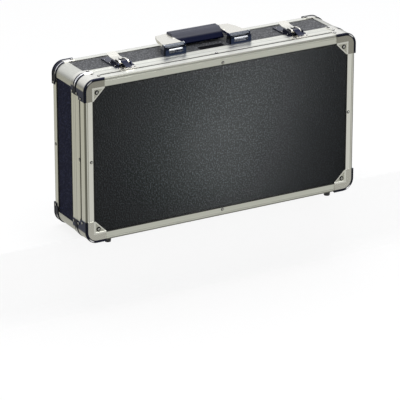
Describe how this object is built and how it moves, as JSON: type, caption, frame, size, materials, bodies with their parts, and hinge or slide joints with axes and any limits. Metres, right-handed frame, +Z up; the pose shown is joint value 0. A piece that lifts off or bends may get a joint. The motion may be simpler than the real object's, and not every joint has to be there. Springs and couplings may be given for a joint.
{
  "type": "guitar pedal case",
  "caption": "Hinged carrying case for effect pedals, with a deep lid shell, a shallow felt-lined tray, aluminium edging, draw latches and a folding handle.",
  "frame": {"origin": "on the floor under the middle of the closed case, which stands on the rubber feet of its hinge side", "axes": "+X along the length, +Y from the tray's outside face to the lid's outside face, +Z up, towards the handle"},
  "size_m": [0.6956, 0.1564, 0.4145],
  "materials": {
    "aluminium": "brushed, clear anodised extrusion",
    "cap_metal": "satin pressed sheet with dark rolled edges",
    "black_laminate": "plywood board with a black grained laminate",
    "felt": "dark violet-black felt",
    "rubber": "moulded rubber",
    "steel_fastener": "plated heads",
    "steel_pin": "drawn steel",
    "grip": "moulded black grip",
    "satin_nickel": "satin nickel plate",
    "chrome": "bright plate"
  },
  "bodies": {
    "lid": {"handle_bracket_left": "chrome", "handle_bracket_right": "chrome", "handle_pins": "steel_pin", "latch_base_left": "chrome", "latch_base_right": "chrome", "latch_rivets": "steel_fastener", "lever_pins": "steel_pin", "lid_back_felt": "felt", "lid_back_panel": "black_laminate", "lid_closure_caps": "cap_metal", "lid_closure_rail_bottom": "aluminium", "lid_closure_rail_left": "aluminium", "lid_closure_rail_right": "aluminium", "lid_closure_rail_top": "aluminium", "lid_corner_strips": "aluminium", "lid_feet": "rubber", "lid_hinge_leaf_left": "chrome", "lid_hinge_leaf_right": "chrome", "lid_hinge_rivets": "steel_fastener", "lid_rear_corner_caps": "cap_metal", "lid_rear_rail_bottom": "aluminium", "lid_rear_rail_left": "aluminium", "lid_rear_rail_right": "aluminium", "lid_rear_rail_top": "aluminium", "lid_screws": "steel_fastener", "lid_wall_bottom": "black_laminate", "lid_wall_felt": "felt", "lid_wall_left": "black_laminate", "lid_wall_right": "black_laminate", "lid_wall_top": "black_laminate"},
    "tray": {"hinge_pins": "steel_pin", "strike_left": "chrome", "strike_right": "chrome", "strike_rivets": "steel_fastener", "tray_corner_caps": "cap_metal", "tray_corner_posts": "aluminium", "tray_face_panel": "black_laminate", "tray_feet": "rubber", "tray_floor_felt": "felt", "tray_hinge_leaf_left": "chrome", "tray_hinge_leaf_right": "chrome", "tray_hinge_rivets": "steel_fastener", "tray_rail_bottom": "aluminium", "tray_rail_left": "aluminium", "tray_rail_right": "aluminium", "tray_rail_top": "aluminium", "tray_screws": "steel_fastener", "tray_wall_felt": "felt"},
    "handle": {"handle_grip": "grip", "handle_core": "steel_pin", "handle_arm_left": "satin_nickel", "handle_arm_right": "satin_nickel"},
    "lever_left": {"latch_lever_left": "satin_nickel", "claw_pin_left": "steel_pin"},
    "claw_left": {"latch_claw_left": "chrome"},
    "lever_right": {"latch_lever_right": "satin_nickel", "claw_pin_right": "steel_pin"},
    "claw_right": {"latch_claw_right": "chrome"}
  },
  "joints": [
    {"name": "tray_hinge", "type": "hinge", "parent": "lid", "child": "tray", "pos_m": [0, -0.031, 0.0054], "axis": [1, 0, 0], "range_deg": [0, 105]},
    {"name": "handle_swing", "type": "hinge", "parent": "lid", "child": "handle", "pos_m": [0, -0.0017, 0.405], "axis": [1, 0, 0], "range_deg": [0, 110]},
    {"name": "latch_left", "type": "hinge", "parent": "lid", "child": "lever_left", "pos_m": [-0.22, -0.022, 0.394], "axis": [1, 0, 0], "range_deg": [0, 100]},
    {"name": "claw_left_swing", "type": "hinge", "parent": "lever_left", "child": "claw_left", "pos_m": [-0.22, -0.017, 0.398], "axis": [1, 0, 0], "range_deg": [-120, 0]},
    {"name": "latch_right", "type": "hinge", "parent": "lid", "child": "lever_right", "pos_m": [0.22, -0.022, 0.394], "axis": [1, 0, 0], "range_deg": [0, 100]},
    {"name": "claw_right_swing", "type": "hinge", "parent": "lever_right", "child": "claw_right", "pos_m": [0.22, -0.017, 0.398], "axis": [1, 0, 0], "range_deg": [-120, 0]}
  ],
  "couplings": [
    {"joint": "claw_left_swing", "follows": "latch_left", "ratio": -1.2},
    {"joint": "claw_right_swing", "follows": "latch_right", "ratio": -1.2}
  ]
}
